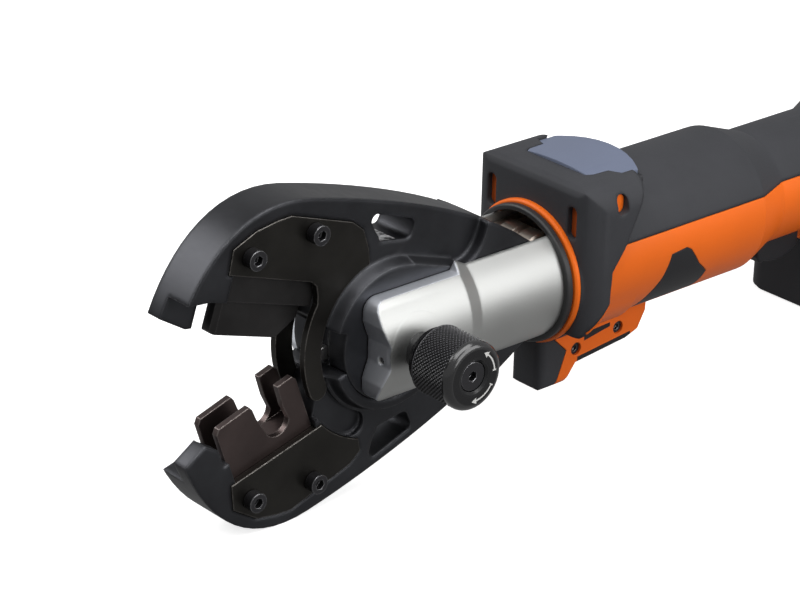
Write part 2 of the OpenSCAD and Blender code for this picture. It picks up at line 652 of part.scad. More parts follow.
module pad_plan(g = 0) {
    polygon(grow(concat([[pad_x0, -18], [pad_x0 + 3, -19.5], [pad_x0 + 11.5, -20], [pad_x0 + 14, -25.6],
        [pad_x0 + 24, -25.6]], arc(45, -32, 32, 8, [pad_x0 - 13, 0]), [[pad_x0 + 24, 25.6],
        [pad_x0 + 14, 25.6], [pad_x0 + 11.5, 20], [pad_x0 + 3, 19.5], [pad_x0, 18]]), g));
}
module front_bumper() {
    color([0.16, 0.16, 0.17]) place() difference() {
        intersection() {
            body_form();
            both(60) bumper_side(seam/2);
        }
        body_bays();
    }
}
module barrel_grip() {
    color([0.17, 0.17, 0.18]) place() difference() {
        intersection() {
            body_form();
            both(60) grip_side(seam/2);
        }
        body_bays();
    }
}
module insert_form(g) {
    intersection() {
        up(barrel_rise) difference() {
            xcyl(100, 200, barrel_r + 1);
            xcyl(90, 210, barrel_r - 3 + g);
        }
        both(60) insert_side(g);
        up(-60) linear_extrude(100) difference() {
            square([600, 200], center = true);
            translate([0, -21 - g]) square([600, 42 + 2*g]);
        }
    }
}
module shell(side) {
    difference() {
        intersection() {
            body_form();
            slab(side > 0 ? 0.05 : -60, side > 0 ? 60 : -0.05) orange_side(seam/2);
        }
        body_bays();
        insert_form(0);
        if (side == 0) for (p = shell_screws) translate([p.x, 0, p.y]) ycyl(-60, -screw_y, 3);
        // Slot moulded in the lower side
        for_sides() slab(-60, -19) translate([face_x + 10, -24]) rotate(8) rrect(18, 3, 1.4);
    }
}
module housing_left() { color([0.90, 0.36, 0.10]) place() shell(1); }
module housing_right() { color([0.90, 0.36, 0.10]) place() shell(0); }
module side_insert(side) {
    color([0.10, 0.10, 0.11]) place() mirror([0, side, 0]) intersection() {
        insert_form(seam/2);
        slab(-60, -1) square([600, 200], center = true);
        body_form();
    }
}
module side_insert_left() { side_insert(1); }
module side_insert_right() { side_insert(0); }
module housing_screws() {
    color([0.12, 0.12, 0.13]) place() for (p = shell_screws) translate([p.x, 0, p.y]) difference() {
        union() {
            ycyl(-screw_y - 2.4, -screw_y, 2.9);
            ycyl(-screw_y - 0.5, screw_y, 1.5);
        }
        ycyl(-screw_y - 3, -screw_y - 1, 1.4);
    }
}
module trim_ring() {
    color([0.90, 0.36, 0.10]) place() difference() {
        union() {
            xcyl(face_x - 2.6, face_x - 1.8, trim_r - 0.8, trim_r);
            xcyl(face_x - 1.8, face_x, trim_r);
        }
        xcyl(0, 200, neck_r + run);
    }
}
module swivel_bearing() {
    color([0.60, 0.50, 0.30]) place() difference() {
        xcyl(bearing_x0, flange_x0 - run, bearing_r - fit_r);
        xcyl(0, 200, neck_r + fit_r);
    }
}
pad_crown_r = 150;
module release_button() {
    color([0.42, 0.46, 0.52]) place() difference() {
        up(block_h - 3.3) linear_extrude(6) pad_plan();
        up(block_h + 1.2 - pad_crown_r) difference() {
            box(80, 170, -60, 60, pad_crown_r - 15, pad_crown_r + 15);
            xcyl(80, 170, pad_crown_r, $fn = 240);
        }
    }
}
module trigger() {
    color([0.12, 0.12, 0.12]) place() slab(-8, 8) polygon(concat(
        [[trigger_x0, -20], [trigger_x0, -30], [trigger_x0 + 2, -33.5]],
        arc(26, 250, 290, 8, [trigger_x0 + 14, -8.6]), [[trigger_x1 - 0.5, -30], [trigger_x1, -20]]));
}
module trigger_switch() {
    color([0.2, 0.2, 0.22]) place() box(trigger_x0 + 3, trigger_x1 - 3, -6, 6, -20 + trigger_pull + run,
        barrel_rise - drive_r - 0.2);
}
module pump_block() {
    color([0.60, 0.61, 0.63]) place() up(barrel_rise) difference() {
        xcyl(pump_x0, pump_x1, drive_r);
        xcyl(pump_x0 + 5, pump_x1 + 1, 5 + fit_r);
        translate([pump_x0 + 14, 0, 0]) zcyl(3, 30, 4 + fit_r);
        translate([pump_x0 + 3, 0, 0]) zcyl(6, 30, 3);
    }
}
module pump_plunger() {
    color([0.66, 0.67, 0.69]) place() up(barrel_rise) translate([pump_x0 + 14, 0, 0]) zcyl(5.1, 15.4, 4);
}
module eccentric_shaft() {
    color([0.50, 0.50, 0.52]) place() up(barrel_rise) xcyl(pump_x0 + 5.2, pump_x1 + 6, 5);
}
module relief_valve() {
    color([0.66, 0.56, 0.30]) place() up(barrel_rise) translate([pump_x0 + 3, 0, 0]) zcyl(6.1, 15.5, 2.9);
}
module gearbox() {
    color([0.45, 0.46, 0.48]) place() up(barrel_rise) difference() {
        xcyl(pump_x1 + 0.1, gear_x1, drive_r);
        xcyl(pump_x1 - 1, pump_x1 + 6.2, 5.1);
        xcyl(gear_x1 - 8, gear_x1 + 1, 3.1);
    }
}
module motor_can() {
    color([0.30, 0.30, 0.32]) place() up(barrel_rise) difference() {
        xcyl(gear_x1, motor_x1, drive_r);
        xcyl(gear_x1 + 2, motor_x1 - 2, drive_r - 1.5);
        xcyl(gear_x1 - 1, motor_x1 + 1, 3.1);
    }
}
module motor_rotor() {
    color([0.55, 0.40, 0.25]) place() up(barrel_rise) {
        xcyl(gear_x1 - 7, motor_x1, 3);
        xcyl(gear_x1 + 6, motor_x1 - 12, drive_r - 2);
        xcyl(motor_x1 - 9, motor_x1 - 5, drive_r - 2);
    }
}
module circuit_board() {
    color([0.10, 0.32, 0.18]) place() {
        box(grip_x1 + 9, grip_x1 + 61, 0.5 - rail_y, rail_y - 0.5, board_z, board_z + 1.6);
        for (i = [0:3]) box(grip_x1 + 14 + 11*i, grip_x1 + 21 + 11*i, -8, 2, board_z + 1.6, board_z + 4);
    }
}
module contact_block() {
    color([0.55, 0.50, 0.30]) place() {
        box(battery_x0 + 1, battery_x0 + 7, -16, 16, shoe_z + 0.6, rail_z + run);
        for (y = [-12, -4, 4, 12]) box(battery_x0 + 6, battery_x0 + 22, y - 0.5, y + 0.5, lid_z + 2.5, rail_z - 2);
    }
}

// Battery
module case_plan(g = 0) { translate([pivot_to_battery, 0]) rrect(battery_l - 2*g, battery_w - 2*g, 12 - g); }
latch_x = pivot_to_battery + 22;
latch_z = case_z - 13;
latch_in = 3.2;     // the latch reaches this far into the case
module battery_case() {
    color([0.12, 0.12, 0.13]) place() difference() {
        union() {
            up(1.5 - pivot_h) linear_extrude(battery_h - 1.5) case_plan();
            up(-pivot_h) linear_extrude(1.6) case_plan(1.5);
        }
        up(battery_wall - pivot_h) linear_extrude(battery_h) case_plan(battery_wall);
        for_sides() slab(-battery_w, 4 - battery_w/2) translate([latch_x, latch_z]) rrect(24.6, 12.6, 4.3);
        for (i = [0:3]) for_sides() slab(-battery_w, 1 - battery_w/2)
            translate([battery_x0 + 20, -pivot_h + 8 + 6*i]) square([40, 2]);
    }
}
module battery_lid() {
    color([0.13, 0.13, 0.14]) place() difference() {
        union() {
            up(case_z) linear_extrude(3) case_plan();
            box(battery_x0 + 10, battery_x1 - 6, -rail_y, rail_y, lid_z - 1, rail_z);
        }
        for_sides() box(battery_x0 + 9, battery_x1 - 5, -rail_y - 1, 3 - rail_y, shoe_z + 0.4, shoe_z + 4);
        for (y = [-12, -4, 4, 12]) box(battery_x0 + 9, battery_x0 + 24, y - 1, y + 1, lid_z + 2, rail_z + 1);
    }
}
cell_r = 9.1;
cell_y = battery_w/2 - latch_in - latch_press - run;
module battery_cells() {
    color([0.20, 0.35, 0.55]) place() for (i = [0:4])
        translate([battery_x0 + 17 + 19*i, 0, battery_wall - pivot_h + cell_r + 0.1])
            ycyl(-cell_y, cell_y, cell_r);
}
module latch(side) {
    color([0.30, 0.30, 0.32]) place() mirror([0, side, 0]) slab(-battery_w/2 - 0.8, latch_in - battery_w/2)
        translate([latch_x, latch_z]) rrect(24, 12, 4);
}
module latch_left() { latch(1); }
module latch_right() { latch(0); }

upper_jaw();
lower_jaw();
upper_die();
lower_die();
upper_guide_plate_front();
upper_guide_plate_rear();
lower_cover_plate_front();
lower_cover_plate_rear();
upper_plate_screws();
lower_plate_screws();
pivot_bush();
stop_pin();
retention_pin();
knob();
knob_screw();
knob_lock_ring();
fork();
detent_screw();
collar_ring();
ram();
roller_upper();
roller_lower();
roller_pins();
piston_seal();
return_spring();
ram_cylinder();
trim_ring();
swivel_bearing();
front_bumper();
barrel_grip();
housing_left();
housing_right();
side_insert_left();
side_insert_right();
housing_screws();
release_button();
trigger();
trigger_switch();
pump_block();
pump_plunger();
eccentric_shaft();
relief_valve();
gearbox();
motor_can();
motor_rotor();
circuit_board();
contact_block();
battery_case();
battery_lid();
battery_cells();
latch_left();
latch_right();
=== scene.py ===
# %% [markdown]
# # A battery crimping tool, dressed over its construction model
# The tool's solids arrive from the construction model as a fixed frame. This file gives them a camera, a
# studio and finishes. It also makes the few pieces whose surface is too fine for solids, such as the
# knurled knob.

# %% Load the frame
import bpy
import bmesh
import json
import math
from mathutils import Matrix, Vector


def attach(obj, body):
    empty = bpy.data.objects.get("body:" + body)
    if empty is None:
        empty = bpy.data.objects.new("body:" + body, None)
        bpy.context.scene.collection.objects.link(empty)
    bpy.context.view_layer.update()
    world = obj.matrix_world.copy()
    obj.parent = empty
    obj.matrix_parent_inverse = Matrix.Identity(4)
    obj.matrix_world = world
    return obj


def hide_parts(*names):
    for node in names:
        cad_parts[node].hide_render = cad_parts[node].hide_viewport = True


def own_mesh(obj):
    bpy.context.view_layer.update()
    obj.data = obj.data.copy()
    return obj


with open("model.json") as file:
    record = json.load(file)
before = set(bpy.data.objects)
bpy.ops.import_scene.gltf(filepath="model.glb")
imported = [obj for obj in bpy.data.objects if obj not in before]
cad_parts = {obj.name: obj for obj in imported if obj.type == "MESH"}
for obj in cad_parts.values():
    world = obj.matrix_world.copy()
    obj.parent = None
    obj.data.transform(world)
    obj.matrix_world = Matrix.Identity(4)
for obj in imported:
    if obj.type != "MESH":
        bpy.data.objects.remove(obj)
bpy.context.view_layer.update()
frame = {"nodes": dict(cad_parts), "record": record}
nodes = frame["nodes"]

# %% [markdown]
# ## The camera
# A product photograph like this is taken with a long lens, a little above the tool and well to its front
# left. The angles and the distance come from fitting the round fork, the hub's pin and the jaws' straight
# edges. A matrix built from the three view axes is used because it holds the small roll exactly.

# %% Camera
PIVOT = Vector((-0.330, 0.0, 0.0705))
AZIMUTH, ELEVATION, ROLL = math.radians(-41.66), math.radians(24.26), math.radians(1.25)
DISTANCE, SHIFT_RIGHT, SHIFT_UP = 1.20245, 0.01272, 0.01019
FOCAL_PX, FRAME_PX, SENSOR_MM = 2898.09, 800, 36.0

back = Vector((math.sin(AZIMUTH) * math.cos(ELEVATION),
               -math.cos(AZIMUTH) * math.cos(ELEVATION),
               math.sin(ELEVATION)))
level = Vector((math.cos(AZIMUTH), math.sin(AZIMUTH), 0.0))
upward = back.cross(level)
right = level * math.cos(ROLL) + upward * math.sin(ROLL)
up = upward * math.cos(ROLL) - level * math.sin(ROLL)
camera_data = bpy.data.cameras.new("camera")
camera_data.sensor_width = SENSOR_MM
camera_data.lens = FOCAL_PX / FRAME_PX * SENSOR_MM
camera_data.clip_end = 20
camera = bpy.data.objects.new("camera", camera_data)
bpy.context.collection.objects.link(camera)
place = Matrix((right, up, back)).transposed().to_4x4()
place.translation = PIVOT + back * DISTANCE + right * SHIFT_RIGHT + up * SHIFT_UP
camera.matrix_world = place
bpy.context.scene.camera = camera
bpy.context.scene.view_settings.view_transform = "Standard"
print("lens", round(camera_data.lens, 1), "mm")

# %% [markdown]
# ## Sums of sockets
# A finish is easier to read as a sum than as a list of links. The class below wraps a socket, so that
# `1 - mask` or `noise * 0.2` adds the Math node that it needs.

# %% Socket arithmetic
def math_step(operation, swapped=False):
    """A method that adds one Math node; swapped is for a plain number on the left, as in 1 - mask."""
    def step(self, other=0.0):
        numbers = (other, self) if swapped else (self, other)
        node = self.tree.nodes.new("ShaderNodeMath")
        node.operation = operation
        for slot, value in zip(node.inputs, numbers):
            if isinstance(value, Value):
                self.tree.links.new(value.socket, slot)
            else:
                slot.default_value = value
        return Value(self.tree, node.outputs[0])
    return step


class Value:
    """A socket that can be used in arithmetic."""

    def __init__(self, tree, socket):
        self.tree = tree
        self.socket = socket

    __add__ = math_step("ADD")
    __radd__ = math_step("ADD", swapped=True)
    __sub__ = math_step("SUBTRACT")
    __rsub__ = math_step("SUBTRACT", swapped=True)
    __mul__ = math_step("MULTIPLY")
    __rmul__ = math_step("MULTIPLY", swapped=True)
    above = math_step("GREATER_THAN")
    below = math_step("LESS_THAN")
    most = math_step("MAXIMUM")
    turn_from = math_step("ARCTAN2")
    size = math_step("ABSOLUTE")
    root = math_step("SQRT")


print("socket steps", sorted(name for name in vars(Value) if not name.startswith("_")))

# %% [markdown]
# ## A small writer for node trees
# Every other node comes from one method. It takes the node's type, its settings and what goes into its
# sockets, either by name or, where two sockets share a name, in their order.

# %% Node writer
class Writer:
    """Adds nodes to one node tree."""

    def __init__(self, tree):
        self.tree = tree
        tree.nodes.clear()

    def fill(self, target, value):
        """Links a value to a socket, or sets a number, a vector or a colour on it."""
        if isinstance(value, Value):
            self.tree.links.new(value.socket, target)
        elif isinstance(value, tuple) and len(value) < len(target.default_value):
            target.default_value = (*value, 1.0)
        else:
            target.default_value = value

    def node(self, kind, out=0, settings=None, ordered=(), **named):
        """One node: its settings first, then its sockets; gives an output, or the node if it has none."""
        made = self.tree.nodes.new(kind)
        for option, value in (settings or {}).items():
            setattr(made, option, value)
        for target, value in zip(made.inputs, ordered):
            self.fill(target, value)
        for option, value in named.items():
            label = option.replace("_", " ").lower()
            self.fill(next(s for s in made.inputs if s.enabled and s.name.lower() == label), value)
        return Value(self.tree, made.outputs[out]) if made.outputs else made

    def by_ray(self, kind, otherwise, then):
        """One shader for the given kind of ray and another for all the rest."""
        seen = self.node("ShaderNodeLightPath", out=kind)
        return self.node("ShaderNodeMixShader", ordered=(seen, otherwise, then))


print("writer steps", sorted(name for name in vars(Writer) if not name.startswith("_")))

# %% [markdown]
# ## Patterns in true size
# Grain, clouds and scratches are noise. It could be laid on by unwrapping each piece, but here it is measured
# on the piece itself, in metres, so a grain keeps its true size on every part.

# %% Patterns
class Patterns(Writer):
    """Noise, ramps and colour blends measured on the piece."""

    def at(self, stretch=(1, 1, 1)):
        """Places on the piece, in metres, stretched along its axes."""
        place = self.node("ShaderNodeTexCoord", out="Object")
        return self.node("ShaderNodeMapping", Vector=place, Scale=stretch)

    def along(self, start):
        """The three separate distances from a start point, in metres."""
        split = self.node("ShaderNodeSeparateXYZ", Vector=self.at())
        outputs = split.socket.node.outputs
        return [Value(self.tree, out) - begin for out, begin in zip(outputs, start)]

    def noise(self, scale, detail=3.0, roughness=0.55, stretch=(1, 1, 1)):
        return self.node("ShaderNodeTexNoise", Vector=self.at(stretch),
                         Scale=scale, Detail=detail, Roughness=roughness)

    def ramp(self, value, low=0.3, high=0.7, first=0.0, last=1.0):
        """A value that runs from low to high, as noise mostly does here, carried to first and last."""
        return self.node("ShaderNodeMapRange", Value=value,
                         From_Min=low, From_Max=high, To_Min=first, To_Max=last)

    def blend(self, mask, first, last):
        """A colour from first to last by a mask."""
        return self.node("ShaderNodeMix", out=2, settings={"data_type": "RGBA"}, Factor=mask, A=first, B=last)


print("patterns", sorted(name for name in vars(Patterns) if not name.startswith("_")))

# %% [markdown]
# ## What every finish can do
# A finish is one Principled shader that takes these patterns as its colour, its gloss and its relief. A sharp
# edge catches light and wears first. It is found by comparing a normal that rolls over the edge with the
# face's own normal, which needs no painting by hand.

# %% Finish
class Finish(Patterns):
    """A node material on one Principled shader."""

    def __init__(self, name, **plain):
        self.material = bpy.data.materials.new(name)
        self.material.use_nodes = True
        super().__init__(self.material.node_tree)
        self.surface = self.node("ShaderNodeBsdfPrincipled")
        self.output = self.node("ShaderNodeOutputMaterial", Surface=self.surface)
        for option, value in plain.items():
            self.feed(option.replace("_", " ").title().replace("Ior", "IOR"), value)

    def feed(self, name, value):
        """Sets or links one socket of the Principled shader."""
        self.fill(self.surface.socket.node.inputs[name], value)

    def rounded(self, radius):
        """Normals that roll over a sharp edge, as a small machined chamfer does."""
        return self.node("ShaderNodeBevel", settings={"samples": 4}, Radius=radius)

    def edges(self, radius):
        """1 on sharp edges and 0 on flats."""
        own = self.node("ShaderNodeNewGeometry", out="Normal")
        facing = self.node("ShaderNodeVectorMath", out=1, settings={"operation": "DOT_PRODUCT"},
                           ordered=(self.rounded(radius), own))
        return self.ramp(facing, 0.995, 0.88)

    def relief(self, height, distance, strength, **base):
        """Fine relief of a depth in metres, over the piece's own normals or a given Normal."""
        self.feed("Normal", self.node("ShaderNodeBump", Height=height, Distance=distance,
                                      Strength=strength, **base))


def times(colour, factor):
    """A colour made lighter or darker."""
    return tuple(min(1.0, factor * c) for c in colour)


finishes = {}
print("finish steps", sorted(name for name in vars(Finish) if not name.startswith("_")))

# %% [markdown]
# ## Where the jaws' black is worn away
# On one wall of each jaw's window the black is worn through to bright steel. That could be painted by hand on
# each jaw. Here a place on an open jaw is turned back to the closed position first, and then one rule serves
# both jaws, with the lower one as the upper one's mirror.

# %% Bare strip
OPEN_ANGLE, MM = math.radians(18), 1000
WINDOW_X, WINDOW_HALF, WINDOW_Z, JAW_HALF = -12.0, 7.5, 41.6, 8.6
STRIP_LOW, STRIP_HIGH = WINDOW_Z - 4.5, WINDOW_Z - 1.6


def jaw_place(finish, sign):
    """Places on the closed jaw, in millimetres from the pivot; sign is 1 on the upper jaw."""
    x, y, z = finish.along(PIVOT)
    cosine, sine = math.cos(OPEN_ANGLE * sign), math.sin(OPEN_ANGLE * sign)
    return (x * cosine + z * -sine) * MM, y * MM, (x * sine + z * cosine) * MM


def bare_strip(finish):
    """1 on the lower wall of each jaw's window, where the black wears through to bright steel."""
    strips = []
    for sign in (1, -1):
        x, y, z = jaw_place(finish, sign)
        inside = (x - WINDOW_X).size().below(WINDOW_HALF) * y.size().below(JAW_HALF)
        strips.append(inside * (z * sign).above(STRIP_LOW) * (z * sign).below(STRIP_HIGH))
    return strips[0].most(strips[1])


print("bare strip", round(STRIP_HIGH - STRIP_LOW, 1), "mm wide at", WINDOW_X, "mm from the pivot")

# %% [markdown]
# ## Blackened steel
# The jaws are forged, machined and blackened, which leaves a near-black satin with a blue cast. Handling
# polishes the edges and dulls the faces in clouds. The edges' lighter colour is partly that wear and partly
# a painted highlight for the light their small chamfers catch. A fine grain in the relief breaks the
# reflections. The plates, dies and screws are the same steel in other tones, so one function makes them all.

# %% Steel finishes
BLACKENED, BARE_STEEL = 0.85, (0.80, 0.80, 0.81)


def dark_steel(name, base, wear_highlight_colour, rough, wear_highlight_share=0.8, edge_r=0.0005, wear_highlight_reach=0.0007, bare=False):
    """Blackened steel; edge_r rolls the edges, and their worn, painted-highlight colour reaches a set
    distance in.
    """
    finish = Finish(name, metallic=BLACKENED)
    clouds = finish.noise(38.0, detail=4.0)
    fine = finish.noise(2600.0, detail=2.0, roughness=0.6)
    scratch = finish.noise(160.0, detail=5.0, roughness=0.7, stretch=(1, 1, 9))
    edge = finish.edges(wear_highlight_reach) * finish.ramp(finish.noise(420.0), 0.25, 0.55)
    shade = finish.blend(finish.ramp(clouds), times(base, 0.82), times(base, 1.18))
    # The edges' lighter colour: partly wear, partly a painted highlight.
    shade = finish.blend(edge * wear_highlight_share, shade, wear_highlight_colour)
    if bare:
        scrapes = finish.noise(700.0, roughness=0.7, stretch=(0.25, 1, 1))
        scraped = bare_strip(finish) * finish.ramp(scrapes, 0.40, 0.52)
        shade = finish.blend(scraped, shade, BARE_STEEL)
        finish.feed("Metallic", BLACKENED - scraped * BLACKENED)
    finish.feed("Base Color", shade)
    dulled = finish.ramp(clouds * 0.6 + scratch * 0.4, first=rough - 0.05, last=rough + 0.09)
    finish.feed("Roughness", dulled - edge * 0.08)
    finish.relief(fine + scratch * 0.3, 0.00002, 0.45, Normal=finish.rounded(edge_r))
    return finish.material


finishes["blackened_steel"] = dark_steel("jaw_black_steel", (0.046, 0.047, 0.052), (0.24, 0.245, 0.26), 0.36,
                                         wear_highlight_share=0.32, edge_r=0.0026, wear_highlight_reach=0.0009, bare=True)
finishes["plate_steel"] = dark_steel("plate_black_steel", (0.034, 0.032, 0.029), (0.34, 0.32, 0.30), 0.33)
finishes["die_steel"] = dark_steel("brown_die_steel", (0.085, 0.064, 0.061), (0.40, 0.36, 0.34), 0.30)
finishes["upper_die_steel"] = dark_steel("grey_die_steel", (0.046, 0.044, 0.044), (0.22, 0.21, 0.21), 0.34)
finishes["black_screw"] = dark_steel("screw_black_oxide", (0.062, 0.061, 0.066), (0.50, 0.50, 0.52), 0.30,
                                     wear_highlight_reach=0.0005)
print("steels", len(finishes))

# %% [markdown]
# ## Satin fork steel
# The fork is turned and then bead-blasted, so it is matt and even, with the faintest rings from the lathe.
# It is the brightest metal on the tool, and its soft sheen needs a high roughness rather than a pale grey
# paint. Its flat faces ahead of the neck are milled. Ahead of the neck, every face that doesn't look sideways
# is painted brighter and bluer: a painted reflection.

# %% Bright metals
NECK_X, FLAT_TILT = 0.0375, 0.35


def reflecting_faces(finish):
    """1 ahead of the fork's neck on faces whose normals don't look sideways, where a reflection is painted.
    """
    normal = finish.node("ShaderNodeTexCoord", out="Normal")
    sideways = finish.node("ShaderNodeSeparateXYZ", out=1, Vector=normal)
    return sideways.size().below(FLAT_TILT) * finish.along(PIVOT)[0].below(NECK_X)


def bright_metal(name, base, rough, grain=1800.0, roll=0.0006, painted_reflection=None):
    """Uncoated metal; the last argument is the painted reflection colour ahead of the fork's neck."""
    finish = Finish(name, metallic=1.0)
    clouds = finish.noise(24.0)
    fine = finish.noise(grain, detail=2.0)
    rings = finish.noise(900.0, detail=2.0, roughness=0.5, stretch=(1, 0.02, 0.02))
    shade = finish.blend(clouds, times(base, 0.93), times(base, 1.05))
    # Ahead of the neck: a painted reflection, brighter and bluer.
    if painted_reflection:
        shade = finish.blend(reflecting_faces(finish), shade, painted_reflection)
    finish.feed("Base Color", shade)
    dulled = finish.ramp(clouds * 0.5 + fine * 0.5, first=rough - 0.04, last=rough + 0.05)
    finish.feed("Roughness", dulled)
    finish.relief(fine + rings * 0.35, 0.000012, 0.5, Normal=finish.rounded(roll))
    return finish.material


SATIN, REFLECTED_BLUE = (0.52, 0.525, 0.514), (0.73, 0.752, 0.80)
finishes["fork_steel"] = bright_metal("fork_satin_steel", SATIN, 0.46, roll=0.0018, painted_reflection=REFLECTED_BLUE)
finishes["flush_ring_steel"] = bright_metal("flush_ring_steel", SATIN, 0.46, roll=0.00002)
finishes["ground_steel"] = bright_metal("ground_steel", (0.55, 0.54, 0.53), 0.28)
finishes["roller_steel"] = bright_metal("oiled_roller_steel", (0.38, 0.33, 0.29), 0.36)
finishes["bronze"] = bright_metal("bearing_bronze", (0.50, 0.36, 0.19), 0.35)
finishes["alloy"] = bright_metal("cast_alloy", (0.60, 0.61, 0.62), 0.5, grain=700.0)
finishes["copper"] = bright_metal("wound_copper", (0.62, 0.30, 0.16), 0.35)
print("metals", len(finishes))

# %% [markdown]
# ## The orange foot's painted shade
# Under the orange shell's foot a long slot and the lower lip are painted near-black: painted shade for the
# slot's depth and for the shade under the foot. Both lie flush with the orange, so they are a mask in its
# finish and not a shape.

# %% Foot trim
SLOT_X, SLOT_HALF, SLOT_TALL, SLOT_RISE, SLOT_DROP = 125.8, 8.0, 1.9, 0.1, 48.3
TAPER_FROM, TAPER, WALL_Y = 118.0, 0.06, 7.5
LIP_X, LIP_HALF, LIP_TALL, LIP_RISE, LIP_DROP = 130.5, 16.5, 2.4, 0.097, 58.6
SHADE_BLACK = (0.016, 0.016, 0.018)


def foot_painted_shade(finish):
    """1 on the slot and the lip; both run slightly uphill towards the back, as the foot does."""
    # Painted shade: the slot's depth and the foot's underside.
    x, y, z = [value * MM for value in finish.along(PIVOT)]
    slot_line = x * SLOT_RISE - SLOT_DROP
    slot_tall = SLOT_TALL - (x - TAPER_FROM) * TAPER
    slot = (x - SLOT_X).size().below(SLOT_HALF) * (z - slot_line).size().below(slot_tall)
    lip_line = x * LIP_RISE - LIP_DROP
    lip = (x - LIP_X).size().below(LIP_HALF) * (z - lip_line).below(LIP_TALL)
    return (slot * y.size().above(WALL_Y)).most(lip)


print("slot", 2 * SLOT_HALF, "mm, lip", 2 * LIP_HALF, "mm")

# %% [markdown]
# ## Rubber and moulded plastic
# The body is a nylon shell with soft rubber moulded over it. Both have a spark-eroded grain from the mould,
# coarser in the rubber. The nylon keeps a slight gloss; the rubber goes dull and pale where it is rubbed.
# Only colour, gloss and grain size differ, so one function makes them all.

# %% Moulded finishes
def moulded(name, base, rough, grain, depth, lighter=1.15, edge_tint=0.25, specular=0.5, roll=0.0008,
            trim=None):
    """A moulded skin; depth is its grain's depth in metres, lighter is how far its clouds vary."""
    finish = Finish(name, specular_ior_level=specular)
    clouds = finish.noise(20.0, detail=4.0)
    skin = finish.noise(grain, detail=2.0, roughness=0.5)
    edge = finish.edges(0.0009)
    tint = finish.blend(finish.ramp(clouds), times(base, 1 / lighter), times(base, lighter))
    shade = finish.blend(edge * edge_tint, tint, tuple(min(1.0, c * 1.5 + 0.03) for c in base))
    # trim is a mask painted near-black; on the orange foot it is painted shade.
    if trim:
        shade = finish.blend(trim(finish), shade, SHADE_BLACK)
    finish.feed("Base Color", shade)
    dulled = finish.ramp(skin * 0.5 + clouds * 0.5, first=rough - 0.05, last=rough + 0.06)
    finish.feed("Roughness", dulled)
    finish.relief(skin, depth, 0.6, Normal=finish.rounded(roll))
    return finish.material


finishes["black_rubber"] = moulded("charcoal_rubber", (0.042, 0.043, 0.048), 0.58, 1500.0, 0.00006,
                                   specular=0.22, roll=0.0022)
finishes["seal_rubber"] = moulded("seal_rubber", (0.022, 0.022, 0.023), 0.45, 1200.0, 0.00002)
finishes["orange_shell"] = moulded("orange_nylon", (0.94, 0.165, 0.010), 0.42, 1900.0, 0.00004,
                                   1.05, 0.1, 0.3, trim=foot_painted_shade)
# A darker copy of the orange: painted shade for the front windows' deep pockets.
finishes["shaded_orange"] = moulded("orange_nylon_in_shade", (0.42, 0.075, 0.012), 0.5, 1900.0, 0.00004,
                                    1.05, 0.1, 0.2)
finishes["slate_pad"] = moulded("slate_nylon", (0.145, 0.168, 0.238), 0.48, 1700.0, 0.00004, 1.06,
                                specular=0.25)
finishes["black_shell"] = moulded("black_nylon", (0.024, 0.024, 0.027), 0.45, 1700.0, 0.00004, specular=0.22)
finishes["black_knob"] = moulded("glossy_black", (0.012, 0.012, 0.013), 0.24, 900.0, 0.00001, 1.05, 0.15)
finishes["board"] = moulded("green_laminate", (0.03, 0.16, 0.07), 0.4, 900.0, 0.00002)
finishes["cell_wrap"] = moulded("cell_sleeve", (0.04, 0.14, 0.34), 0.3, 600.0, 0.00002)
print("finishes", sorted(finishes))

# %% [markdown]
# ## Painting the construction solids
# Every solid whose shape is right stays as it is and only gets its finish. The record names a finish for
# each node, so one loop paints them all.

# %% Paint the nodes
slot_of = {entry["node"]: entry["material_slot"] for entry in frame["record"]["subparts"]}
for name, piece in nodes.items():
    piece.data.materials.clear()
    piece.data.materials.append(finishes[slot_of[name]])
print("painted", len(nodes))

# %% [markdown]
# ## Shading that is smooth on curves and crisp on edges
# The solids draw a curve as a chain of small flats. A small geometry node tree shades every face smooth and
# then marks the edges that turn by more than a limit as sharp. It works on what the modifiers before it
# leave, so it also covers their bevels.

# %% Smoothing nodes
SMOOTH_UNDER = 18


def smoother():
    """Nodes that drop stored normals and shade smooth across edges that turn less than the limit."""
    group = bpy.data.node_groups.new("smooth_under_%d" % SMOOTH_UNDER, "GeometryNodeTree")
    group.interface.new_socket("Geometry", in_out="INPUT", socket_type="NodeSocketGeometry")
    group.interface.new_socket("Geometry", in_out="OUTPUT", socket_type="NodeSocketGeometry")
    new, link = group.nodes.new, group.links.new
    start, end = new("NodeGroupInput"), new("NodeGroupOutput")
    drop = new("GeometryNodeRemoveAttribute")
    turn = new("GeometryNodeInputMeshEdgeAngle")
    over = new("FunctionNodeCompare")
    faces, edges = new("GeometryNodeSetShadeSmooth"), new("GeometryNodeSetShadeSmooth")
    drop.inputs["Name"].default_value = "custom_normal"
    over.operation = "GREATER_THAN"
    over.inputs[1].default_value = math.radians(SMOOTH_UNDER)
    faces.domain, edges.domain = "FACE", "EDGE"
    edges.inputs["Shade Smooth"].default_value = False
    link(start.outputs[0], drop.inputs[0])
    link(drop.outputs[0], faces.inputs[0])
    link(faces.outputs[0], edges.inputs[0])
    link(turn.outputs["Unsigned Angle"], over.inputs[0])
    link(over.outputs[0], edges.inputs["Selection"])
    link(edges.outputs[0], end.inputs[0])
    return group


smooth_curves = smoother()
print("smoothing nodes", len(smooth_curves.nodes))

# %% [markdown]
# ## Rolled edges
# The solids' edges are knife sharp, and real ones never are. Modifiers weld each listed mesh, merge its
# coplanar triangles and, where a width is given, cut a small real bevel along the sharp edges. The solids
# themselves stay as they came.

# %% Edge modifiers
WELD_WITHIN, FLAT_UNDER, BEVEL_OVER = 0.000002, 0.2, 32


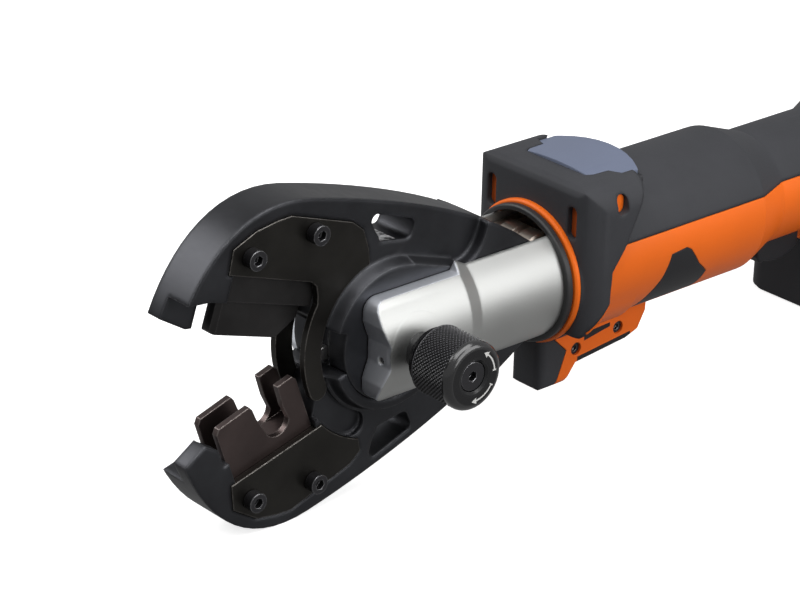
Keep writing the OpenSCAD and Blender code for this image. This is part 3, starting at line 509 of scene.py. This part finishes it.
def dress_edges(piece, width):
    """Modifiers for one piece; width is its bevel in metres, or 0 for none."""
    weld = piece.modifiers.new("weld", "WELD")
    weld.merge_threshold = WELD_WITHIN
    flat = piece.modifiers.new("flatten", "DECIMATE")
    flat.decimate_type = "DISSOLVE"
    flat.angle_limit = math.radians(FLAT_UNDER)
    if width:
        bevel = piece.modifiers.new("bevel", "BEVEL")
        bevel.width, bevel.segments = width, 2
        bevel.limit_method = "ANGLE"
        bevel.angle_limit = math.radians(BEVEL_OVER)
        bevel.use_clamp_overlap = True
        bevel.miter_outer = "MITER_ARC"
    shade = piece.modifiers.new("shade", "NODES")
    shade.node_group = smooth_curves


rolled = {
    0.0018: ["front_bumper"],
    0.0012: ["battery_case"],
    0.0010: ["trigger"],
    0.0009: ["upper_jaw", "lower_jaw", "fork"],
    0.0008: ["release_button", "battery_lid"],
    0.0006: ["barrel_grip"],
    0.0004: ["upper_die", "lower_die", "upper_guide_plate_front", "upper_guide_plate_rear",
             "lower_cover_plate_front", "lower_cover_plate_rear", "housing_left", "housing_right",
             "side_insert_left", "side_insert_right"],
    0.00025: ["upper_plate_screws", "lower_plate_screws"],
    0: ["trim_ring"]}
for width, names in rolled.items():
    for name in names:
        dress_edges(nodes[name], width)
print("rolled", sum(len(names) for names in rolled.values()))

# %% [markdown]
# ## Turned pieces
# The knob and its lock ring come off a lathe, so both are a closed outline swept round the pin. The sweep
# is written out as a grid of points because the knurl then only has to pull single points inwards.

# %% Turned pieces
def turned(name, profile, around, dip=None):
    """A turned piece along -Y from a closed loop of (radius, distance) pairs; dip takes metal off it."""
    points = []
    for radius, distance in profile:
        for k in range(around):
            angle = 2 * math.pi * k / around
            r = radius - (dip(angle, distance, radius) if dip else 0.0)
            points.append((r * math.cos(angle), -distance, r * math.sin(angle)))
    faces = []
    for i in range(len(profile)):
        after = (i + 1) % len(profile) * around
        for k in range(around):
            beside = (k + 1) % around
            faces.append((i * around + k, i * around + beside, after + beside, after + k))
    mesh = bpy.data.meshes.new(name)
    mesh.from_pydata(points, [], faces)
    mesh.validate()
    built = bmesh.new()
    built.from_mesh(mesh)
    bmesh.ops.recalc_face_normals(built, faces=built.faces)
    built.to_mesh(mesh)
    built.free()
    piece = bpy.data.objects.new(name, mesh)
    bpy.context.collection.objects.link(piece)
    return piece


print("turning starts from pairs of radius and distance, in metres")

# %% [markdown]
# ## The knob's knurl
# A diamond knurl is rolled into the knob. A bump map would stay flat at the outline, so the diamonds are
# real: the radius dips along two opposite sets of helical grooves, which leave flat-topped diamonds between
# them.

# %% Knurl
KNOB_R, KNOB_FRONT, KNOB_BACK, NECK = 0.015, 0.0652, 0.0347, 0.0388
KNURL_FROM, KNURL_TO, KNURL_DEEP = NECK + 0.0047, KNOB_FRONT - 0.0037, 0.0007
KNURLS, KNURL_STEPS, KNURL_FLAT, KNURL_FADE = 52, 130, 0.38, 0.0006


def knurl_dip(angle, distance, radius):
    """How deep the knurl's grooves are at a point of the knob."""
    if not KNURL_FROM <= distance <= KNURL_TO or radius < KNOB_R - 1e-5:
        return 0.0
    turns = KNURLS * angle / (2 * math.pi)
    slope = (distance - KNURL_FROM) / (2 * math.pi * KNOB_R / KNURLS)
    groove = max(abs(((turns + way * slope) % 1.0) - 0.5) * 2 for way in (1, -1))
    fade = min(1.0, (distance - KNURL_FROM) / KNURL_FADE, (KNURL_TO - distance) / KNURL_FADE)
    return KNURL_DEEP * max(0.0, groove - KNURL_FLAT) / (1 - KNURL_FLAT) * fade


print("knurl", round((KNURL_TO - KNURL_FROM) * MM, 1), "mm long,", KNURLS, "grooves each way")

# %% [markdown]
# ## The arrows on the knob
# The knob's face carries two curved arrows, printed in white: one for turning the pin free and one for
# turning it fast. They could be a picture laid on the face. Here distances and angles round the pin draw
# them, so they stay sharp from close by.

# %% Arrows
ARROW_R, ARROW_HALF, TICK_HALF, TICK_TURN = 10.6, 0.34, 0.9, 1.6
TIP_TURN, TIP_TAPER = 14.0, 0.1
ARROWS = ((2, 50, 1), (-32, -84, -1))


def arrow_marks(reach, turn):
    """1 on the two arrows, each from a tick at its start angle to a tip at its end, in degrees."""
    marks = []
    for start, end, way in ARROWS:
        off = (reach - ARROW_R).size()
        arc = off.below(ARROW_HALF) * turn.above(min(start, end)) * turn.below(max(start, end))
        ahead = (turn - end) * way
        tip = off.below((TIP_TURN - ahead) * TIP_TAPER) * ahead.above(0.0) * ahead.below(TIP_TURN)
        tick = off.below(TICK_HALF) * (turn - start).size().below(TICK_TURN)
        marks.append(arc.most(tip).most(tick))
    return marks[0].most(marks[1])


print("arrows", len(ARROWS))

# %% [markdown]
# ## The knob's finish
# The knob is glossy black. The knurl's tops are grey, partly from handling and partly a painted highlight for
# the glints they catch, and its edges carry a thin painted highlight in grey. The rounded rim is the most
# polished part, so it gets a clear coat. The tops and the rim are found by how far they lie from the pin's
# axis and along it.

# %% Knob finish
FACE_R, TOPS_FROM, TOPS_TO = 11.9, 14.80, 14.95
EDGE_HIGHLIGHT_GREY, WORN_GLINT_GREY, WHITE_PRINT = (0.09, 0.09, 0.094), (0.09, 0.09, 0.098), (0.80, 0.80, 0.78)


def knob_finish():
    """Glossy black with the two arrows printed on the face; radii are in millimetres."""
    finish = Finish("printed_knob_black", specular_ior_level=0.5, coat_roughness=0.12)
    x, y, z = finish.along(PIVOT)
    reach = (x * x + z * z).root() * MM
    turn = z.turn_from(x) * (180 / math.pi)
    face = y.below(-(KNOB_FRONT - 0.0016))
    marks = arrow_marks(reach, turn) * face * finish.ramp(finish.noise(2600.0), 0.28, 0.42)
    worn_glinting_tops = finish.ramp(reach, TOPS_FROM, TOPS_TO) * y.above(-KNURL_TO) * y.below(-KNURL_FROM)
    # Edges: a thin painted highlight in grey.
    black = finish.blend(finish.edges(0.0004) * 0.4, (0.008, 0.008, 0.009), EDGE_HIGHLIGHT_GREY)
    # Knurl tops: grey for handling wear and a painted highlight of their glints.
    black = finish.blend(worn_glinting_tops * 0.95, black, WORN_GLINT_GREY)
    finish.feed("Base Color", finish.blend(marks, black, WHITE_PRINT))
    finish.feed("Roughness", finish.ramp(finish.noise(60.0), first=0.20, last=0.28) + marks * 0.25)
    finish.feed("Coat Weight", y.below(-KNURL_TO) * reach.above(FACE_R))
    finish.relief(finish.noise(1500.0, detail=2.0), 0.000008, 0.4)
    return finish.material


printed_black = knob_finish()
print("nodes in the knob's finish", len(printed_black.node_tree.nodes))

# %% [markdown]
# ## The knob
# A slim shaft leaves the fork, and then come two small rings, the knurl, a rounded rim and the recess for
# the screw. The outline runs in that order, as pairs of a radius and a distance from the pin's middle.

# %% Knob
BORE_R, SHAFT_R, RIM_R, RIM_START = 0.0050, 0.0078, 0.0032, KNOB_FRONT - 0.0034
outline = [(BORE_R, KNOB_BACK), (0.0076, KNOB_BACK), (SHAFT_R, KNOB_BACK + 0.0002), (SHAFT_R, NECK)]
outline += [(radius, NECK + beyond) for radius, beyond in (
    (0.0122, 0), (0.0126, 0.0003), (0.0126, 0.0014), (0.0117, 0.0017), (0.0117, 0.0022), (0.0127, 0.0025),
    (0.0127, 0.0034), (KNOB_R - 0.0010, 0.0037), (KNOB_R, 0.0044))]
outline += [(KNOB_R, KNURL_FROM + (KNURL_TO - KNURL_FROM) * i / KNURL_STEPS) for i in range(KNURL_STEPS + 1)]
outline += [(KNOB_R, KNOB_FRONT - 0.0035)]
for degrees in range(10, 86, 10):
    bend = math.radians(degrees)
    outline.append((KNOB_R - RIM_R + RIM_R * math.cos(bend), RIM_START + RIM_R * math.sin(bend)))
outline += [(radius, KNOB_FRONT - short) for radius, short in (
    (0.0085, 0.0003), (0.0075, 0.0005), (0.0066, 0.0014), (0.0066, 0.0058), (BORE_R, 0.0058))]
knob = turned("knob_knurled", outline, 8 * KNURLS, knurl_dip)
knob.data.transform(Matrix.Translation(PIVOT))
knob.data.materials.append(printed_black)
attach(knob, "knob_body")
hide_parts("knob")
print("knob faces", len(knob.data.polygons))

# %% [markdown]
# ## The ring under the knob
# The pin's lock ring is let into a pocket of the round fork and turned down flush with it, so the satin
# steel runs on up to a slim black collar. Its flange follows the fork's barrel: those rows of points are
# moved onto that cylinder, and the two rows under them onto the pocket's floor.

# %% Lock ring
CHEEK_R, AROUND, POCKET_FLOOR = 0.032, 96, 0.0290
FLUSH, RIM_FLUSH, SUNK = 0.00005, 0.00001, 0.0005
flange = [0.0159, 0.0155, 0.0148, 0.0140, 0.0132, 0.0124, 0.0116, 0.0108, 0.0100, 0.0092, 0.0084, 0.0078]
under = [(0.0073, POCKET_FLOOR), (0.0142, POCKET_FLOOR)]
collar = [(0.0077, 0.0322), (0.0077, 0.0342), (0.0075, 0.0344), (0.0073, 0.0344)]
lock_ring = turned("lock_ring_turned", under + [(radius, CHEEK_R) for radius in flange] + collar, AROUND)
for k, vertex in enumerate(lock_ring.data.vertices[:AROUND * (len(under) + len(flange))]):
    row = k // AROUND
    barrel = -math.sqrt(CHEEK_R ** 2 - vertex.co.z ** 2)
    if row < len(under):
        vertex.co.y = max(-POCKET_FLOOR, barrel + SUNK)
    else:
        vertex.co.y = barrel - (RIM_FLUSH if row == len(under) else FLUSH)
lock_ring.data.transform(Matrix.Translation(PIVOT))
lock_ring.data.materials.append(finishes["flush_ring_steel"])
lock_ring.data.materials.append(finishes["black_knob"])
for face in lock_ring.data.polygons[AROUND * (len(flange) + 1):]:
    face.material_index = 1
dress_edges(lock_ring, 0)
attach(lock_ring, "head")
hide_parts("knob_lock_ring")
print("lock ring", [round(v * MM, 1) for v in lock_ring.dimensions])

# %% [markdown]
# ## The return spring
# A coil inside the cylinder pushes the piston back. The solids only hold its room, a plain tube, so the wire
# is swept here as a real helix with a closed turn at each end.

# %% Coil
def coil(name, start, length, radius, wire, turns, around=28, sides=8):
    """A wire coil along X from a start distance from the pivot, with one closed turn at each end."""
    points = []
    steps = turns * around
    for i in range(steps + 1):
        t = i / around
        open_share = min(max(t - 1, 0), turns - 2) / (turns - 2)
        closed = min(t, 1) + max(t - (turns - 1), 0)
        x = start + wire / 2 + closed * wire + open_share * (length - 3 * wire)
        out = Vector((0, math.cos(2 * math.pi * t), math.sin(2 * math.pi * t)))
        for k in range(sides):
            a = 2 * math.pi * k / sides
            lengthwise = Vector((wire / 2 * math.sin(a), 0, 0))
            points.append(Vector((x, 0, 0)) + out * (radius + wire / 2 * math.cos(a)) + lengthwise)
    faces = [tuple(range(sides)), tuple(range(steps * sides, (steps + 1) * sides))[::-1]]
    for i in range(steps):
        ring, after = i * sides, (i + 1) * sides
        for k in range(sides):
            beside = (k + 1) % sides
            faces.append((ring + k, after + k, after + beside, ring + beside))
    mesh = bpy.data.meshes.new(name)
    mesh.from_pydata([tuple(p + PIVOT) for p in points], [], faces)
    mesh.shade_smooth()
    piece = bpy.data.objects.new(name, mesh)
    bpy.context.collection.objects.link(piece)
    return piece


print("coil takes its start, length, radius and wire in metres")

# %% Return spring
SPRING_FROM, SPRING_LONG, STROKE, MARGIN = 0.122, 0.042, 0.040, 0.96
spring = coil("return_spring_coil", SPRING_FROM, SPRING_LONG, 0.0125, 0.0024, 8)
spring.data.materials.append(finishes["ground_steel"])
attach(spring, "head")
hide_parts("return_spring")
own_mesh(spring)
print("spring", [round(v * MM, 1) for v in spring.dimensions])

# %% [markdown]
# ## The shell behind the rubber's windows
# The rubber over the front block has small windows, and the orange shell shows in them. Thin plates on the
# pockets' floors give that colour where the solids have one piece of rubber. The two front plates take a
# darker orange: painted shade for their deep pockets.

# %% Window plates
CORNERS, PLATE_THICK = 32, 0.4


def plate(name, centre, half, axis, finish):
    """A small plate with rounded ends, flat across an axis, in millimetres from the pivot."""
    corner = min(half) * 0.95
    outline = []
    for k in range(CORNERS):
        angle = 2 * math.pi * k / CORNERS
        u = math.copysign(half[0] - corner, math.cos(angle)) + corner * math.cos(angle)
        v = math.copysign(half[1] - corner, math.sin(angle)) + corner * math.sin(angle)
        outline.append((u, v))
    points = []
    for level in (-PLATE_THICK / 2, PLATE_THICK / 2):
        for u, v in outline:
            spot = (level, u, v) if axis == "x" else (u, level, v)
            points.append(PIVOT + (Vector(centre) + Vector(spot)) / MM)
    faces = [tuple(range(CORNERS))[::-1], tuple(range(CORNERS, 2 * CORNERS))]
    for k in range(CORNERS):
        beside = (k + 1) % CORNERS
        faces.append((k, beside, CORNERS + beside, CORNERS + k))
    mesh = bpy.data.meshes.new(name)
    mesh.from_pydata([tuple(p) for p in points], [], faces)
    piece = bpy.data.objects.new(name, mesh)
    bpy.context.collection.objects.link(piece)
    mesh.materials.append(finishes[finish])
    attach(piece, "tool_body")
    return piece


plates = [plate("window_plate_%d" % k, (93.75, side * 25, 30), (2.5, 7.2), "x", "shaded_orange")
          for k, side in enumerate((-1, 1))]
plates += [plate("side_plate_%d" % k, (109, side * 34.2, 37.5), (3.0, 4.2), "y", "orange_shell")
           for k, side in enumerate((-1, 1))]
print("window plates", len(plates))

# %% [markdown]
# ## The studio floor
# A white sweep is how such tools are shot. The floor is white where the camera sees it and still takes the
# tool's shadow. It sends little light back up onto the tool, and in the tool's mirror-like faces it shows as
# a soft grey, so the blackened steel stays dark and the fork keeps its shading.

# %% Floor
WHITE, FLOOR_HALF = (1.0, 1.0, 1.0), 9
FLOOR_GLOW, FLOOR_MIRRORED, FLOOR_BOUNCE = 0.75, 0.30, (0.22, 0.22, 0.22)


def floor_finish():
    """White paper for the camera, soft grey in mirror-like faces, dim for the light it sends back."""
    finish = Finish("white_floor", base_color=(0.86, 0.86, 0.86), roughness=0.9, specular_ior_level=0.1)
    glow = finish.node("ShaderNodeEmission", Color=WHITE, Strength=FLOOR_GLOW)
    seen = finish.node("ShaderNodeAddShader", ordered=(finish.surface, glow))
    dim = finish.node("ShaderNodeBsdfDiffuse", Color=FLOOR_BOUNCE)
    mirrored = finish.node("ShaderNodeEmission", Color=WHITE, Strength=FLOOR_MIRRORED)
    unseen = finish.by_ray("Is Glossy Ray", dim, mirrored)
    finish.fill(finish.output.inputs["Surface"], finish.by_ray("Is Camera Ray", unseen, seen))
    return finish.material


floor_mesh = bpy.data.meshes.new("floor")
floor_corners = [(x * FLOOR_HALF, y * FLOOR_HALF, 0) for x, y in ((-1, -1), (1, -1), (1, 1), (-1, 1))]
floor_mesh.from_pydata(floor_corners, [], [(0, 1, 2, 3)])
floor = bpy.data.objects.new("floor", floor_mesh)
bpy.context.collection.objects.link(floor)
floor_mesh.materials.append(floor_finish())
floor.location.z = -0.0002
print("floor", 2 * FLOOR_HALF, "m")

# %% [markdown]
# ## Lights
# Three large soft lights: one over the tool, one behind it for the jaws' backs and one on the knob's side.
# Small lamps would give hard shadows and sharp glints, which such a picture doesn't have.

# %% Lights
AIM = (-0.28, 0.0, 0.08)


def softbox(name, where, size, power):
    """A large area light that looks at the tool's head; metres and watts."""
    data = bpy.data.lights.new(name, "AREA")
    data.shape = "RECTANGLE"
    data.size, data.size_y = size
    data.energy = power
    lamp = bpy.data.objects.new(name, data)
    lamp.location = where
    lamp.rotation_euler = (Vector(AIM) - Vector(where)).to_track_quat("-Z", "Y").to_euler()
    bpy.context.collection.objects.link(lamp)


softbox("top_light", (-0.35, -0.30, 1.1), (1.3, 0.9), 11.5)
softbox("back_light", (-0.95, 0.88, 0.80), (0.9, 0.7), 8)
softbox("side_light", (0.15, -1.25, 0.60), (1.4, 1.0), 11.5)

# %% [markdown]
# ## The room
# The room around the lights is dim where it lights the tool, brighter in mirror-like faces and white behind
# the tool. One background could not be all three, so the kind of ray picks between them.

# %% World
ROOM_LIGHT, ROOM_MIRRORED, ROOM_SEEN = 0.07, 0.42, 1.0
world = bpy.data.worlds.new("studio")
world.use_nodes = True
bpy.context.scene.world = world
sky = Writer(world.node_tree)
room, mirrored_room, backdrop = [
    sky.node("ShaderNodeBackground", Color=WHITE, Strength=strength)
    for strength in (ROOM_LIGHT, ROOM_MIRRORED, ROOM_SEEN)]
unseen_room = sky.by_ray("Is Glossy Ray", room, mirrored_room)
sky.node("ShaderNodeOutputWorld", Surface=sky.by_ray("Is Camera Ray", unseen_room, backdrop))
print("world nodes", len(sky.tree.nodes))

# %% [markdown]
